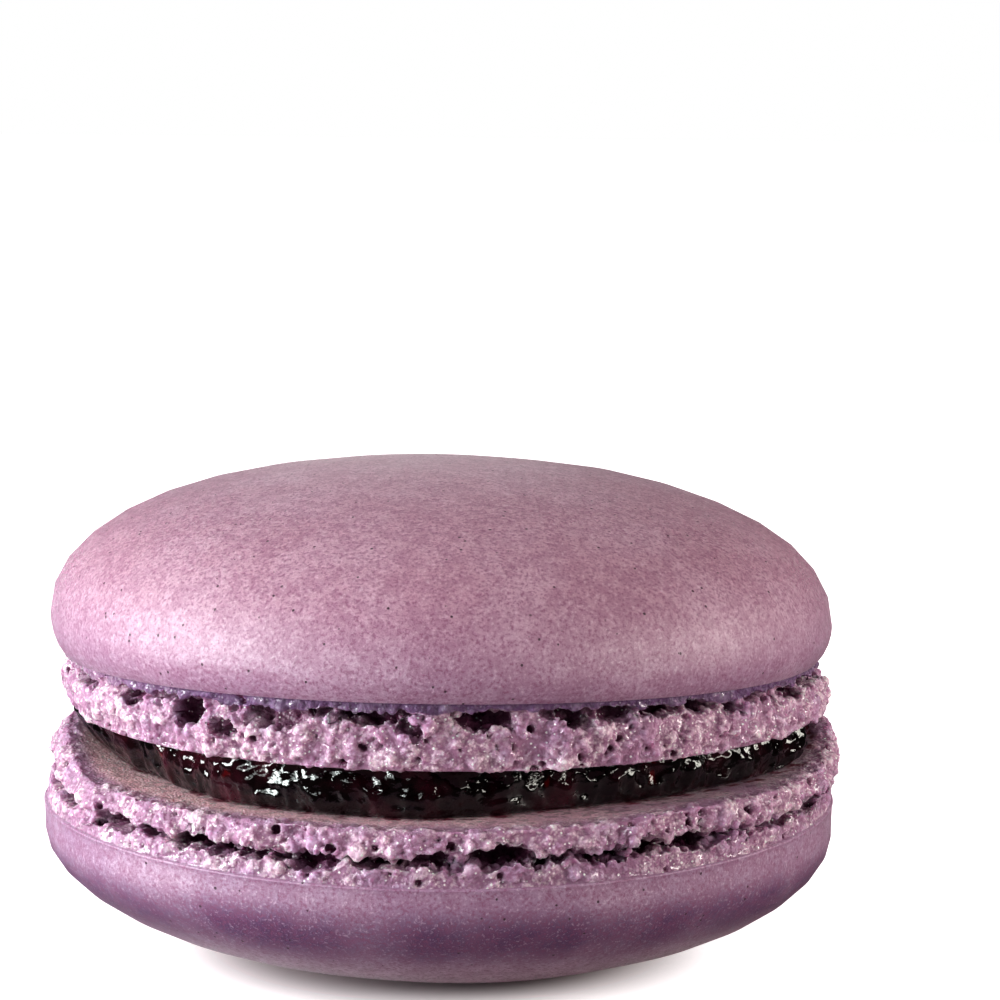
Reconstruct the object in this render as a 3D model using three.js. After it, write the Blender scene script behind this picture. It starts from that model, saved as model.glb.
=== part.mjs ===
// A lavender macaron: two baked almond shells with a disc of dark berry jam pressed between them.
// Each shell is one piece, a smooth domed cap on a low, ruffled foot with pits and hollows.
// Millimetres, +Z up, the origin on the surface below the middle. The side that is seen first looks along +Y.

import * as THREE from "three";
import { mergeVertices } from "three/addons/utils/BufferGeometryUtils.js";

// Heights of the layers, from the surface up
const LOWER_CAP_HEIGHT = 8.4;
const LOWER_FOOT_HEIGHT = 2.9;
const JAM_THICKNESS = 3.0;
const UPPER_FOOT_HEIGHT = 3.6;
const UPPER_CAP_HEIGHT = 10.2;

// Heights of the faces between the layers
const LOWER_FLAT = LOWER_CAP_HEIGHT + LOWER_FOOT_HEIGHT;
const UPPER_FLAT = LOWER_FLAT + JAM_THICKNESS;

// Out to this radius the base of a shell is flat. Beyond it, the base rises at each swell.
const FLAT_RADIUS = 17;

// Small roundings of the foot: at its flat edge, and where it meets the rim of the cap
const ROUNDED_EDGE = 0.25;
const RIM_CLEARANCE = 0.08;
const EDGE_FADE = 0.4;
const RIM_FADE = 0.5;

// How quickly the cap's side turns from its rim to its widest place
const TUCK_CURVE = 2.2;

// How finely the round shapes are cut up
const SHELL_SEGMENTS = 144;
const JAM_SEGMENTS = 96;
const JAM_RINGS = 6;
const FOOT_RINGS = 9;
const SKIRT_RINGS = 2;
const DOME_RINGS = 8;

// A shell is described from its flat base outwards: "up" is the distance from the base towards the cap.
// Its foot lies a little to the right of its cap, and at each swell its edge stands towards the other shell.
// The rim waves: it lies nearer the base at both ends of the X axis, and differs between them.
const LOWER_SHELL = {
  baseRadius: 21.85,
  rimRadius: 22.6,
  footHeight: LOWER_FOOT_HEIGHT,
  belly: { up: 0.95, reach: 0.35, tall: 0.95 },
  groove: { up: 1.75, reach: 0.55, tall: 0.42 },
  cap: { radius: 22.55, height: LOWER_CAP_HEIGHT, tuck: 1.2, side: 2.5, crown: 1.77, lean: -0.01, flat: 4.5 },
  ruffle: 0.26,
  roundness: { oval: 0.16, ovalAt: 45, lobe: 0.12, lobeAt: 45 },
  footShift: 0.53,
  rimWave: { atEnds: -0.58, toRight: 0.03 },
  swells: [
    { at: 176, spread: 18, height: 1.95 },
    { at: 2, spread: 15, height: 1.9 },
    { at: -42, spread: 26, height: 0.45 },
    { at: 95, spread: 20, height: 0.4 },
  ],
  seed: 11,
};
const UPPER_SHELL = {
  baseRadius: 21.33,
  rimRadius: 21.6,
  footHeight: UPPER_FOOT_HEIGHT,
  belly: { up: 1.2, reach: 0.3, tall: 1.2 },
  groove: { up: 2.9, reach: 0.3, tall: 0.5 },
  cap: { radius: 22.3, height: UPPER_CAP_HEIGHT, tuck: 1.4, side: 2.2, crown: 2.14, lean: -0.014, flat: 0 },
  ruffle: 0.24,
  roundness: { oval: 0.14, ovalAt: 45, lobe: 0.12, lobeAt: 30 },
  footShift: 0.48,
  rimWave: { atEnds: -0.5, toRight: -0.15 },
  swells: [
    { at: 0, spread: 14, height: 0.35 },
    { at: 120, spread: 22, height: 0.3 },
  ],
  seed: 29,
};

// The larger hollows in the feet at the front: azimuth in degrees, up, width, height and depth
const LOWER_HOLLOWS = [
  [-144, 1.6, 2.3, 0.8, 1.2],
  [-135, 1.7, 1.6, 1.0, 1.2],
  [-125, 1.75, 3.8, 1.0, 2.2],
  [-117, 1.95, 1.6, 0.9, 1.4],
  [-107, 1.8, 2.6, 0.8, 1.5],
  [-99, 2.0, 3.2, 1.0, 1.8],
  [-92, 1.6, 2.8, 0.8, 1.3],
  [-82, 1.35, 3.2, 1.1, 2.2],
  [-76, 2.0, 1.4, 0.9, 1.5],
  [-67, 1.9, 1.8, 0.9, 1.7],
  [-61, 1.6, 1.8, 1.0, 1.4],
  [-54, 1.65, 2.8, 1.0, 1.8],
  [-45, 1.7, 1.8, 0.9, 1.3],
  [-29, 1.65, 3.7, 0.8, 1.5],
];
const UPPER_HOLLOWS = [
  [-141, 2.8, 1.8, 1.2, 1.2],
  [-129, 2.3, 2.4, 1.6, 2.0],
  [-122, 1.8, 1.4, 1.0, 1.0],
  [-114, 2.6, 3.1, 1.3, 0.9],
  [-100, 2.95, 3.3, 1.0, 1.8],
  [-94, 2.2, 0.9, 0.8, 1.0],
  [-84, 2.7, 2.8, 0.9, 1.6],
  [-72, 2.85, 1.6, 1.0, 1.4],
  [-65, 2.9, 2.5, 0.8, 1.1],
  [-57, 3.0, 2.0, 0.8, 1.4],
  [-50, 3.0, 1.8, 0.8, 1.3],
  [-43, 2.8, 1.3, 1.0, 1.1],
  [-25, 2.4, 2.2, 0.9, 1.1],
];

// Round the back, up to this azimuth, the hollows are drawn by chance, each value between two limits.
const CHANCE_HOLLOWS = {
  end: 210,
  firstStep: [7, 11],
  step: [6, 11],
  shift: [-0.25, 0.2],
  width: [1.2, 3.6],
  height: [0.75, 1.1],
  depth: [0.9, 2.0],
};

// Lobes round the foot: how many, their share of the ruffle, and how far they lean over its height
const RUFFLE_SETS = [
  { count: 13, share: 0.45 },
  { count: 21, share: 0.35 },
  { count: 34, share: 0.3 },
];
const RUFFLE_TWIST = [-0.6, 0.6];

// The jam is squeezed out unevenly in broad and narrow waves, and its side bulges. Its faces bend with the
// swells of the shells, from "bend" inside its edge, and stay "clearance" off them there. On the left its
// side slants: its lower edge lies further in.
const JAM = {
  radius: 19.15,
  bulge: 0.35,
  edge: 0.2,
  bend: 3.2,
  clearance: 0.06,
  slant: { at: -170, spread: 28, reach: 1.6 },
  waves: [
    { count: 1, reach: 0.4, crestAt: 180 },
    { count: 2, reach: 0.9, crestAt: 0 },
    { count: 4, reach: 0.9, crestAt: -100 },
    { count: 9, reach: 0.2, crestAt: 110 },
    { count: 23, reach: 0.09, crestAt: 15 },
  ],
};

const CAP_COLOUR = 0xc9a3bd;
const JAM_COLOUR = 0x1d070d;

// The same draws on every run, from 0 to 1
function seededDraw(seed) {
  let state = seed >>> 0;
  return () => {
    state = (Math.imul(state, 1664525) + 1013904223) >>> 0;
    return state / 4294967296;
  };
}

const radians = THREE.MathUtils.degToRad;
const between = (low, high, share) => low + (high - low) * share;
const bump = (x) => Math.exp(-x * x);
const ease = (x) => THREE.MathUtils.smoothstep(x, 0, 1);

// The shorter way round from one azimuth to another, in radians
function turnBetween(azimuth, other) {
  const turn = azimuth - other;
  return turn - 2 * Math.PI * Math.round(turn / (2 * Math.PI));
}

// Round the back, hollows follow each other at uneven steps and are of uneven size.
function allHollows(shell, listed) {
  const random = seededDraw(shell.seed);
  const draw = (name) => between(...CHANCE_HOLLOWS[name], random());
  const hollows = [...listed];
  let azimuth = listed[listed.length - 1][0] + draw("firstStep");
  while (azimuth < CHANCE_HOLLOWS.end) {
    const width = draw("width");
    hollows.push([azimuth, shell.groove.up + draw("shift"), width, draw("height"), draw("depth")]);
    azimuth += width + draw("step");
  }
  return hollows.map(([degrees, up, width, height, depth]) => ({
    azimuth: radians(degrees), up, width, height, depth,
  }));
}

// Each set of lobes starts at a drawn phase.
function allRuffles(shell) {
  const random = seededDraw(shell.seed + 1000);
  return RUFFLE_SETS.map(({ count, share }) => ({
    count,
    share,
    phase: between(0, 2 * Math.PI, random()),
    twist: between(...RUFFLE_TWIST, random()),
  }));
}

// The radius of the foot without hollows, at a distance up from the base
function footRadius(shell, up) {
  const { belly, groove } = shell;
  return between(shell.baseRadius, shell.rimRadius, ease(up / shell.footHeight))
    + belly.reach * bump((up - belly.up) / belly.tall)
    - groove.reach * bump((up - groove.up) / groove.tall);
}

// How far ruffles and hollows move the foot in or out
function footRelief(shell, azimuth, up, radius) {
  const fade = ease(up / EDGE_FADE) * ease((shell.footHeight - up) / RIM_FADE);
  let relief = 0;
  for (const { count, share, phase, twist } of shell.ruffles) {
    relief += shell.ruffle * share * Math.sin(count * azimuth + phase + twist * up);
  }
  for (const hollow of shell.hollows) {
    const across = (turnBetween(azimuth, hollow.azimuth) * radius) / (hollow.width / 2);
    const along = (up - hollow.up) / (hollow.height / 2);
    relief -= hollow.depth * bump(across) * bump(along);
  }
  return relief * fade;
}

// A shell isn't quite round: it is slightly oval and has three faint corners.
function outOfRound(shell, azimuth) {
  const { oval, ovalAt, lobe, lobeAt } = shell.roundness;
  return oval * Math.cos(2 * (azimuth - radians(ovalAt))) + lobe * Math.cos(3 * (azimuth - radians(lobeAt)));
}

// How far the edge of the foot stands towards the other shell
function swell(shell, azimuth) {
  let height = 0;
  for (const { at, spread, height: most } of shell.swells) {
    height += most * bump(turnBetween(azimuth, radians(at)) / radians(spread));
  }
  return height;
}

// The radius of the edge of a shell's base
function baseEdge(shell) {
  return footRadius(shell, 0) - ROUNDED_EDGE;
}

// How far a shell's base stands towards the other shell at a radius
function baseRise(shell, azimuth, radius) {
  const share = (radius - FLAT_RADIUS) / (baseEdge(shell) - shell.footShift - FLAT_RADIUS);
  return swell(shell, azimuth) * THREE.MathUtils.clamp(share, 0, 1);
}

// The shell's outline from the middle of its base to the top of its cap, as points [radius, up]
function shellOutline(shell) {
  const { cap, footHeight, rimRadius } = shell;
  const outline = [[0, 0], [FLAT_RADIUS, 0], [baseEdge(shell), 0]];
  for (let i = 0; i < FOOT_RINGS; i++) {
    const up = between(ROUNDED_EDGE, footHeight - RIM_CLEARANCE, i / (FOOT_RINGS - 1));
    outline.push([footRadius(shell, up), up]);
  }
  for (let i = 0; i < SKIRT_RINGS; i++) {
    const share = i / SKIRT_RINGS;
    outline.push([
      cap.radius - (cap.radius - rimRadius) * (1 - share) ** TUCK_CURVE,
      footHeight + cap.tuck * share,
    ]);
  }
  for (let i = 0; i < DOME_RINGS; i++) {
    const angle = (i / DOME_RINGS) * (Math.PI / 2);
    outline.push([
      cap.radius * Math.cos(angle) ** (2 / cap.side),
      footHeight + cap.tuck + (cap.height - cap.tuck) * Math.sin(angle) ** (2 / cap.crown),
    ]);
  }
  if (cap.flat > 0) outline.push([cap.flat, footHeight + cap.height]);
  outline.push([0, footHeight + cap.height]);
  return outline;
}

// Turns an outline of two values a ring about the vertical axis, and puts each point where place says.
function turned(outline, segments, place) {
  const lathe = new THREE.LatheGeometry(outline.map(([r, up]) => new THREE.Vector2(r, up)), segments);
  lathe.deleteAttribute("normal");
  lathe.deleteAttribute("uv");
  const position = lathe.getAttribute("position");
  for (let i = 0; i < position.count; i++) {
    const [radius, up] = outline[i % outline.length];
    const azimuth = (Math.floor(i / outline.length) % segments) * ((2 * Math.PI) / segments);
    const moved = place(azimuth, radius, up, i % outline.length);
    position.setXYZ(i, moved.radius * Math.cos(azimuth), moved.radius * Math.sin(azimuth), moved.height);
  }
  return mergeVertices(lathe, 1e-4);
}

// Drops the triangles that the axis squeezes to a line, and turns every face round where asked.
function cleaned(geometry, flip) {
  const index = geometry.index.array;
  const kept = [];
  for (let i = 0; i < index.length; i += 3) {
    const [a, b, c] = [index[i], index[i + 1], index[i + 2]];
    if (a !== b && b !== c && c !== a) kept.push(...(flip ? [a, c, b] : [a, b, c]));
  }
  geometry.setIndex(kept);
  geometry.computeVertexNormals();
  return geometry;
}

// One shell, its base at the given height, with the cap above it (direction 1) or below it (direction -1)
function shellGeometry(shell, base, direction) {
  const { cap, footHeight, rimWave } = shell;
  const place = (azimuth, radius, up) => {
    if (radius === 0) return { radius, height: base + direction * up };
    if (radius === FLAT_RADIUS) return { radius, height: base };
    const onFoot = 1 - ease(up / footHeight);
    const onCap = ease((up - footHeight) / cap.tuck);
    let reach = radius + outOfRound(shell, azimuth) * ease(radius / shell.baseRadius);
    reach += shell.footShift * onFoot * Math.cos(azimuth);
    if (up > 0 && up < footHeight) reach += footRelief(shell, azimuth, up, radius);
    const level = cap.flat > 0 ? ease((radius - cap.flat) / (cap.radius / 2)) : 1;
    const lean = cap.lean * onCap * level * reach * Math.cos(azimuth);
    const wave = rimWave.atEnds * Math.cos(azimuth) ** 2 + rimWave.toRight * Math.cos(azimuth);
    const stand = up + wave * (1 - onFoot) * (1 - onCap) - swell(shell, azimuth) * onFoot;
    return { radius: reach, height: base + direction * stand + lean };
  };
  return cleaned(turned(shellOutline(shell), SHELL_SEGMENTS, place), direction < 0);
}

// How far the jam's side lies from the middle, without its bulge, at a share of its thickness
function jamEdge(azimuth, share) {
  const { at, spread, reach: most } = JAM.slant;
  const slant = most * bump(turnBetween(azimuth, radians(at)) / radians(spread));
  let edge = JAM.radius - JAM.edge - slant * (1 - share);
  for (const { count, reach, crestAt } of JAM.waves) {
    edge += reach * Math.cos(count * (azimuth - radians(crestAt)));
  }
  return edge;
}

// The jam is a disc with an uneven rim, pressed by both shells and bulging between them. The outline holds
// how far each ring stands outside the jam's edge, and its share of the jam's thickness.
function jamGeometry() {
  const outline = [[0, 0], [-JAM.bend, 0]];
  for (let i = 0; i < JAM_RINGS; i++) {
    const share = i / (JAM_RINGS - 1);
    const arch = Math.sqrt(Math.max(0, 1 - (2 * share - 1) ** 2));
    outline.push([(JAM.edge + JAM.bulge) * arch, share]);
  }
  outline.push([-JAM.bend, 1], [0, 1]);
  const last = outline.length - 1;
  const place = (azimuth, stand, share, index) => {
    if (index === 0 || index === last) return { radius: 0, height: LOWER_FLAT + JAM_THICKNESS * share };
    const radius = jamEdge(azimuth, share) + stand;
    const clear = radius > FLAT_RADIUS ? JAM.clearance : 0;
    const below = LOWER_FLAT + clear + baseRise(LOWER_SHELL, azimuth, radius);
    const above = UPPER_FLAT - clear - baseRise(UPPER_SHELL, azimuth, radius);
    return { radius, height: between(below, above, share) };
  };
  return cleaned(turned(outline, JAM_SEGMENTS, place), false);
}

function piece(name, geometry, colour, roughness) {
  const material = new THREE.MeshStandardMaterial({ color: colour, roughness, metalness: 0 });
  const mesh = new THREE.Mesh(geometry, material);
  mesh.name = name;
  return mesh;
}

for (const [shell, listed] of [[LOWER_SHELL, LOWER_HOLLOWS], [UPPER_SHELL, UPPER_HOLLOWS]]) {
  shell.hollows = allHollows(shell, listed);
  shell.ruffles = allRuffles(shell);
}

const macaron = new THREE.Group();
macaron.add(piece("bottom_shell", shellGeometry(LOWER_SHELL, LOWER_FLAT, -1), CAP_COLOUR, 0.6));
macaron.add(piece("jam_filling", jamGeometry(), JAM_COLOUR, 0.12));
macaron.add(piece("top_shell", shellGeometry(UPPER_SHELL, UPPER_FLAT, 1), CAP_COLOUR, 0.6));

export default macaron;
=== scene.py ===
"""A lavender macaron, dressed for a close look: porous feet, wet dark jam and a pale studio.

The shells and the jam are made again here as fine meshes of the same form as the model's solids: the same
outlines, ruffles and hollows, with the lumps, pores and cracks of the crumb added. Sizes are in millimetres
until a mesh is made. Azimuth 0 is the object's right-hand side and -90 degrees faces the camera.
"""
import itertools
import math

import bpy
import numpy as np
from mathutils import Euler, Matrix, Vector


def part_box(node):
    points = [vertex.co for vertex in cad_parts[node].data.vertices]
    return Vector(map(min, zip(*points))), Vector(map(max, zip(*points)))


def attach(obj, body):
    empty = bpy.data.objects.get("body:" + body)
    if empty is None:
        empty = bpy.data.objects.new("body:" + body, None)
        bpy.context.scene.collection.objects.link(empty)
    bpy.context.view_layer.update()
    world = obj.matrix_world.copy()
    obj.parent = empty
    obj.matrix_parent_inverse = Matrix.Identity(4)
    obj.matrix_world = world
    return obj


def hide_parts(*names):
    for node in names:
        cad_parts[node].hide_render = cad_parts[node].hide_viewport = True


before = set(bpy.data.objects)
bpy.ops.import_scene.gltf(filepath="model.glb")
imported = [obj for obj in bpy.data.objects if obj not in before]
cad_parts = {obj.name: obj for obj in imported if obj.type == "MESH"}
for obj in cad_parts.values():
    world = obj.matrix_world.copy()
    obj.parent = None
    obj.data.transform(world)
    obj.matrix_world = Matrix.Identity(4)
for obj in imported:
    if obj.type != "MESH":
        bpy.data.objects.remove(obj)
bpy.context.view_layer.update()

MM = 0.001

# Heights of the layers, from the frame
LOWER_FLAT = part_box("jam_filling")[0].z / MM
UPPER_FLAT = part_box("jam_filling")[1].z / MM
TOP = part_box("top_shell")[1].z / MM
LOWER_FOOT = 2.9
UPPER_FOOT = 3.6

# The form that both shells share with the solids. Up is away from the flat base, towards the cap, and the
# direction is 1 where that is upwards in the scene too. Belly and groove are how far up, reach and height.
# Oval and lobe are reach and azimuth. Shift is how far the base's edge lies to the right, and wave is how
# far the rim stands up at both ends and at the right. Swells are azimuth, spread and reach towards the other
# shell. In the cap, tuck is how far above the rim it is widest, side and crown are the powers of its curve,
# lean is its rise to the right, and flat is the radius of its flat spot.
FLAT_RADIUS = 17
EDGE_BLEND = 1.5
ROUNDED_EDGE = 0.25
TUCK_CURVE = 2.2
LOWER_SHELL = dict(
    base_radius=21.85, rim_radius=22.6, foot=LOWER_FOOT, base=LOWER_FLAT, direction=-1,
    belly=(0.95, 0.35, 0.95), groove=(1.75, 0.55, 0.42),
    cap=dict(radius=22.55, height=LOWER_FLAT - LOWER_FOOT, tuck=1.2, side=2.5, crown=1.77, lean=-0.01,
             flat=4.5),
    ruffle=0.26, oval=(0.16, 45), lobe=(0.12, 45), shift=0.53, wave=(-0.58, 0.03),
    swells=((176, 18, 1.95), (2, 15, 1.9), (-42, 26, 0.45), (95, 20, 0.4)),
    lip=dict(height=1.1, waves=0.7, teeth=0.6, recess=0.15, violet=0.12), seed=11,
)
UPPER_SHELL = dict(
    base_radius=21.33, rim_radius=21.6, foot=UPPER_FOOT, base=UPPER_FLAT, direction=1,
    belly=(1.2, 0.3, 1.2), groove=(2.9, 0.3, 0.5),
    cap=dict(radius=22.3, height=TOP - UPPER_FLAT - UPPER_FOOT, tuck=1.4, side=2.2, crown=2.14, lean=-0.014,
             flat=0),
    ruffle=0.24, oval=(0.14, 45), lobe=(0.12, 30), shift=0.48, wave=(-0.5, -0.15),
    swells=((0, 14, 0.35), (120, 22, 0.3)),
    lip=dict(height=0.55, waves=0.45, teeth=0.2, recess=0.15, violet=1.0), seed=29,
)

# The larger hollows in the feet at the front: azimuth in degrees, up, width, height and depth
LOWER_HOLLOWS = (
    (-144, 1.6, 2.3, 0.8, 1.2), (-135, 1.7, 1.6, 1.0, 1.2), (-125, 1.75, 3.8, 1.0, 2.2),
    (-117, 1.95, 1.6, 0.9, 1.4), (-107, 1.8, 2.6, 0.8, 1.5), (-99, 2.0, 3.2, 1.0, 1.8),
    (-92, 1.6, 2.8, 0.8, 1.3), (-82, 1.35, 3.2, 1.1, 2.2), (-76, 2.0, 1.4, 0.9, 1.5),
    (-67, 1.9, 1.8, 0.9, 1.7), (-61, 1.6, 1.8, 1.0, 1.4), (-54, 1.65, 2.8, 1.0, 1.8),
    (-45, 1.7, 1.8, 0.9, 1.3), (-29, 1.65, 3.7, 0.8, 1.5),
)
UPPER_HOLLOWS = (
    (-141, 2.8, 1.8, 1.2, 1.2), (-129, 2.3, 2.4, 1.6, 2.0), (-122, 1.8, 1.4, 1.0, 1.0),
    (-114, 2.6, 3.1, 1.3, 0.9), (-100, 2.95, 3.3, 1.0, 1.8), (-94, 2.2, 0.9, 0.8, 1.0),
    (-84, 2.7, 2.8, 0.9, 1.6), (-72, 2.85, 1.6, 1.0, 1.4), (-65, 2.9, 2.5, 0.8, 1.1),
    (-57, 3.0, 2.0, 0.8, 1.4), (-50, 3.0, 1.8, 0.8, 1.3), (-43, 2.8, 1.3, 1.0, 1.1),
    (-25, 2.4, 2.2, 0.9, 1.1),
)

# Round the back the hollows are drawn by chance, each value between two limits.
CHANCE = dict(first_step=(7, 11), step=(6, 11), shift=(-0.25, 0.2), width=(1.2, 3.6), height=(0.75, 1.1),
              depth=(0.9, 2.0))
CHANCE_END = 210

# Lobes round the foot: how many, and their share of the ruffle. Their twist is in radians a millimetre up.
RUFFLE_SETS = ((13, 0.45), (21, 0.35), (34, 0.3))
RUFFLE_TWIST = (-0.6, 0.6)
RUFFLE_SEED = 1000

# The feet's detail. A noise layer is its reach, its size and a step of the seed, and a bubble layer is its
# reach, spacing, share, radii and a step of the seed. The crack runs a drop below the lip, the pockets lie
# along the groove, and a span is where noise goes over into a crack or a pocket. Pores and creases also
# count for the colours, as painted shade in them.
CAVE_SIDEWAYS = ((0.4, 0.9, 0), (0.16, 0.35, 9))
CAVE_UPWARDS = ((0.2, 0.8, 1), (0.12, 0.3, 8))
CAVE_SLOPE = (1.45, 0.9)
CAVE_SEED = 100
CRACK = dict(depth=0.9, drop=0.16, half_height=0.24, size=3.0, seed=120, span=(-0.25, 0.05))
POCKETS = dict(depth=0.8, height=0.6, size=0.8, seed=130, layers=2, span=(0.3, 0.6))
TALL_LUMPS = ((0.35, 1.8, 140),)
TALL_SQUASH = (1, 1, 0.6)
ROUND_LUMPS = ((0.25, 0.9, 141),)
LUMPS = ((0.45, 0.95, 0.75, (0.3, 0.6), 0), (0.7, 0.42, 0.75, (0.14, 0.29), 10))
LUMP_GRAIN = ((0.06, 0.2, 20),)
LUMP_SINK = 0.15
CRUMB_SEED = 400
PORES = ((1.8, 0.8, 0.6, (0.1, 0.3), 30), (1.2, 0.5, 0.4, (0.08, 0.16), 40))
LIP_WAVES = dict(size=2.2, seed=200)
LIP_TEETH = dict(size=0.7, seed=210, mean=0.3)
LIP_BLEND = 0.03
# How hollow a point is, with its pores, sets the painted shade and the gloss in the crumb's hollows.
FULL_HOLLOW = 1.2
FOOT_PORE_HOLLOW = 3
BASE_PORE_HOLLOW = 2
CREST_SLOPE = 3
CREST_START = 0.45

# How strongly the lumps and pores show on the crumb, on the lip and near the base's edge
CRUMB_RELIEF = (1, 1.1)
LIP_RELIEF = (0.8, 0.8)
EDGE_RELIEF = (0.6, 0.6)

# Near the base the foot's form fades, and near both of its ends the lumps and pores do.
FORM_FADE = 0.25
RELIEF_FADES = (0.2, 0.3)

# Round this azimuth on the left the crumb is calmer, with fewer pockets, and less violet under the skin,
# where that violet is partly painted shade.
CALM_AT = -168
CALM_SPREAD = 24
CALM_POCKETS = 0.85
CALM_RELIEF = 0.4
CALM_VIOLET = 0.85

# The base: its rows near the middle, where its close rows start, how they crowd towards the edge, its lift
# and grain, the ring inside its edge where the crumb begins, and its colours
BASE_INNER_ROWS = (7, 13)
BASE_START = 16.6
BASE_CROWDING = 1.6
BASE_LIFT = 0.03
BASE_GRAIN = ((0.03, 1.2, 300),)
BASE_CRUMB = (-1.6, -0.3)
BASE_CREST = 0.6
BASE_TAN = dict(middle=0.55, leftwards=0.5, least=0.1)
STAIN_REACH = 0.55

# The skin's first rows, out from the rim and up from the foot, its rows in the tuck, and its unevenness,
# which fades towards the rim and the middle
SKIN_START = ((-0.02, -0.04), (0.03, 0.04))
SKIN_TUCK_ROWS = (0.08, 0.25, 0.5, 0.75)
SKIN_UNEVEN = ((0.07, 7.0, 310),)
SKIN_FADES = dict(start=0.3, up=2, inward=8)
FLAT_GAP = 0.5

# The jam's outline: its radius, and waves as count, reach and the azimuth of a crest. It bends with the
# swells of the shells from JAM_BEND inside its edge, and stays JAM_CLEARANCE off them there. On the left
# its side slants, with its lower edge further in: azimuth, spread and reach.
JAM_RADIUS = 19.15
JAM_BULGE = 0.35
JAM_EDGE = 0.2
JAM_BEND = 3.2
JAM_CLEARANCE = 0.06
JAM_SLANT = (-170, 28, 1.6)
JAM_WAVES = ((1, 0.4, 180), (2, 0.9, 0), (4, 0.9, -100), (9, 0.2, 110), (23, 0.09, 15))
JAM_INNER_ROWS = (-12, -6, -JAM_BEND)
JAM_SEED = 400
JAM_RIDGES = ((0.24, 1.4, 0), (0.16, 0.6, 1))
JAM_RIDGE_SQUASH = (1, 1, 0.3)
JAM_LUMPS = ((0.2, 1.0, 2), (0.1, 0.5, 3))
JAM_DENTS = ((0.5, 1.6, 0.25, (0.15, 0.35), 4),)
JAM_RELIEF_RISE = 12

# How finely the meshes are cut up. The rows of a foot are spread evenly along its profile, in which a step
# in depth counts for DEPTH_SHARE of a step up.
COLUMNS = 1200
BASE_ROWS = 18
FOOT_ROWS = 48
SKIN_ROWS = 16
PROFILE_STEPS = 150
PROFILE_ENDS = (0.02, 0.05)
DEPTH_SHARE = 0.6
JAM_COLUMNS = 1400
JAM_ROWS = 40

# The cylinders that noise on the feet and on the jam's side is taken on
FOOT_NOISE_RADIUS = 22
JAM_NOISE_RADIUS = 19
JAM_NOISE_HEIGHT = 3

# The camera of the photograph's view, and its picture
PICTURE = 1000
CAMERA_DISTANCE = 190
CAMERA_HEIGHT = 47.815
FOCAL_PIXELS = 3347.2
SENSOR = 36
CLIP = (10, 10000)
PITCH, YAW, ROLL = 0.115, 0.017, 0.009


def between(low, high, share):
    return low + (high - low) * share


def bump(x):
    return np.exp(-x * x)


def ease(x):
    x = np.clip(x, 0, 1)
    return x * x * (3 - 2 * x)


def rise(x, low, high):
    """Goes smoothly from 0 to 1 while x goes from low to high"""
    return ease((x - low) / (high - low))


def turn_between(azimuth, other):
    """The shorter way round to an azimuth in radians from another in degrees"""
    turn = azimuth - math.radians(other)
    return turn - 2 * math.pi * np.round(turn / (2 * math.pi))


def points_at(radius, azimuth, height):
    return np.stack([radius * np.cos(azimuth), radius * np.sin(azimuth), height], axis=-1)


def seeded_draw(seed):
    """The same draws as the solids are made with, from 0 to 1"""
    state = seed
    while True:
        state = (state * 1664525 + 1013904223) & 0xFFFFFFFF
        yield state / 4294967296


# Scattered values, noise and bubbles in space

def scattered(cell, seed):
    """A repeatable value from 0 to 1 for each whole-number cell of space"""
    mixed = cell[:, 0] * 374761393 + cell[:, 1] * 668265263 + cell[:, 2] * 1440662683 + seed * 1274126177
    mixed &= 0xFFFFFFFF
    mixed = ((mixed ^ (mixed >> 13)) * 1274126177) & 0xFFFFFFFF
    return ((mixed ^ (mixed >> 16)) & 0xFFFFFF) / 0x1000000


def noise(points, size, seed):
    """Smooth noise, about -1 to 1, whose bumps are about size across"""
    scaled = points / size
    cell = np.floor(scaled).astype(np.int64)
    part = scaled - cell
    weight = ease(part)
    total = np.zeros(len(points))
    for corner in itertools.product((0, 1), repeat=3):
        near = cell + corner
        slope = sum((2 * scattered(near, seed + k) - 1) * (part[:, k] - corner[k]) for k in range(3))
        total += slope * np.prod(np.where(corner, weight, 1 - weight), axis=1)
    return 1.4 * total


def finer_and_finer(points, size, seed, layers):
    """Noise with layers on it that are each half the size and reach of the last"""
    return sum(noise(points + 7.3 * k, size / 2 ** k, seed + 50 * k) / 2 ** k for k in range(layers))


def bubbles(points, spacing, share, radii, seed):
    """How deep each point lies in the nearest of some scattered round bubbles"""
    scaled = points / spacing
    cell = np.floor(scaled).astype(np.int64)
    depth = np.zeros(len(points))
    for step in itertools.product((-1, 0, 1), repeat=3):
        near = cell + step
        middle = near + np.stack([scattered(near, seed + k) for k in range(3)], axis=1)
        radius = between(*radii, scattered(near, seed + 3))
        gap = np.sum((scaled - middle) ** 2, axis=1) * spacing ** 2
        inside = np.sqrt(np.maximum(0, radius ** 2 - gap))
        depth = np.maximum(depth, np.where(scattered(near, seed + 4) < share, inside, 0))
    return depth


def noise_layers(points, layers, seed):
    return sum(reach * noise(points, size, seed + step) for reach, size, step in layers)


def bubble_layers(points, layers, seed):
    return sum(reach * bubbles(points, spacing, share, radii, seed + step)
               for reach, spacing, share, radii, step in layers)


# The shells' form

def all_hollows(shell, listed):
    """The listed hollows, and more by chance round the back"""
    source = seeded_draw(shell["seed"])

    def draw(name):
        return between(*CHANCE[name], next(source))

    hollows = list(listed)
    azimuth = listed[-1][0] + draw("first_step")
    while azimuth < CHANCE_END:
        width = draw("width")
        hollows.append((azimuth, shell["groove"][0] + draw("shift"), width, draw("height"), draw("depth")))
        azimuth += width + draw("step")
    return hollows


def all_ruffles(shell):
    """Each set of lobes with its phase and twist"""
    source = seeded_draw(shell["seed"] + RUFFLE_SEED)
    return [(count, share, between(0, 2 * math.pi, next(source)), between(*RUFFLE_TWIST, next(source)))
            for count, share in RUFFLE_SETS]


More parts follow.
